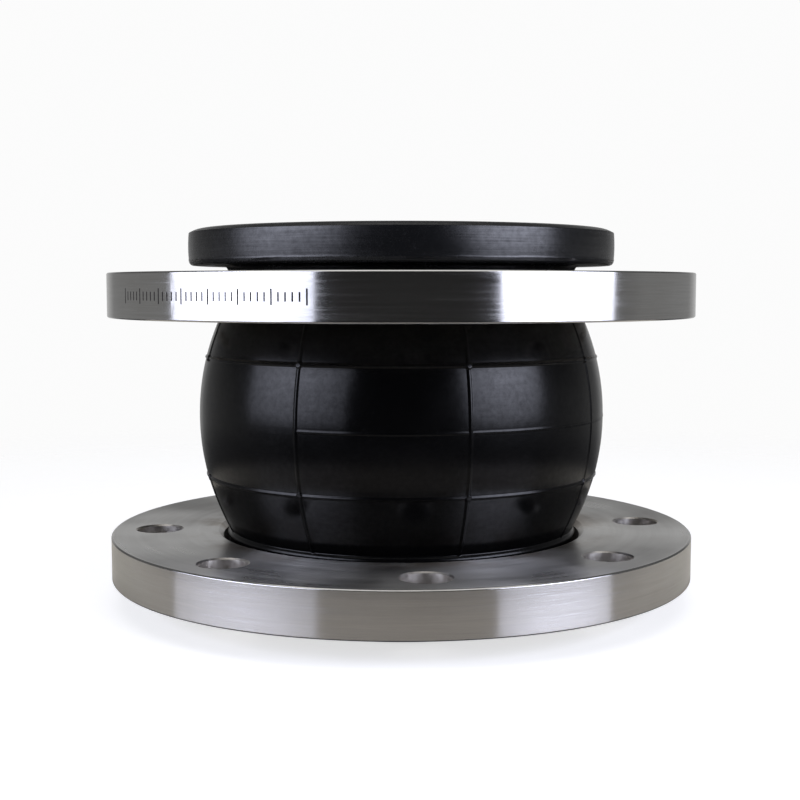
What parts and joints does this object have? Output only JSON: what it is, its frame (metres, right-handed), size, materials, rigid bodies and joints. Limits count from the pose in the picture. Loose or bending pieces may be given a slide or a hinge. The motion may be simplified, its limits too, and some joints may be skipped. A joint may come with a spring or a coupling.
{
  "type": "rubber expansion joint",
  "caption": "Single-sphere rubber expansion joint with moulded ribs, thick sealing rims and loose drilled steel flanges that swivel.",
  "frame": {"origin": "on the pipe axis, in the lower sealing face, which the joint stands on", "axes": "+Z along the pipe from the lower end to the upper end, -Y towards the front, +X to the right"},
  "size_m": [0.285, 0.285, 0.18],
  "materials": {
    "black_rubber": "semi-gloss moulded EPDM rubber",
    "filler_rubber": "hard matt rubber",
    "cord_fabric": "rubberised nylon tyre cord",
    "bead_wire": "bronze-coated high-carbon steel wire",
    "flange_steel": "turned stainless steel"
  },
  "bodies": {
    "lower_end": {"lower_sealing_rim": "black_rubber", "lower_bead_filler": "filler_rubber", "lower_bead_wire_1": "bead_wire", "lower_bead_wire_2": "bead_wire", "lower_bead_wire_3": "bead_wire", "lower_bead_wire_4": "bead_wire"},
    "belly_lower": {"inner_tube": "black_rubber", "cord_ply_1": "cord_fabric", "cord_ply_2": "cord_fabric"},
    "belly_upper": {"cord_ply_3": "cord_fabric", "cord_ply_4": "cord_fabric", "outer_cover": "black_rubber"},
    "upper_end": {"upper_sealing_rim": "black_rubber", "upper_bead_filler": "filler_rubber", "upper_bead_wire_1": "bead_wire", "upper_bead_wire_2": "bead_wire", "upper_bead_wire_3": "bead_wire", "upper_bead_wire_4": "bead_wire"},
    "lower_flange": {"lower_flange": "flange_steel"},
    "upper_flange": {"upper_flange": "flange_steel"}
  },
  "joints": [
    {"name": "lower_end_tilt", "type": "hinge", "parent": "lower_end", "child": "belly_lower", "pos_m": [0, 0, 0.037], "axis": [0, 1, 0], "range_deg": [-7.5, 7.5], "stiffness_Nm_per_rad": 600},
    {"name": "axial_travel", "type": "slide", "parent": "belly_lower", "child": "belly_upper", "axis": [0, 0, 1], "range_m": [-0.018, 0.012], "stiffness_N_per_m": 120000, "springref_m": 0.0005, "deforming": ["inner_tube", "cord_ply_1", "cord_ply_2", "cord_ply_3", "cord_ply_4", "outer_cover"]},
    {"name": "upper_end_tilt", "type": "hinge", "parent": "belly_upper", "child": "upper_end", "pos_m": [0, 0, 0.143], "axis": [0, 1, 0], "range_deg": [-7.5, 7.5], "stiffness_Nm_per_rad": 600},
    {"name": "lower_flange_swivel", "type": "hinge", "parent": "lower_end", "child": "lower_flange", "pos_m": [0, 0, 0.0225], "axis": [0, 0, 1], "continuous": true},
    {"name": "upper_flange_swivel", "type": "hinge", "parent": "upper_end", "child": "upper_flange", "pos_m": [0, 0, 0.1484], "axis": [0, 0, 1], "continuous": true}
  ]
}
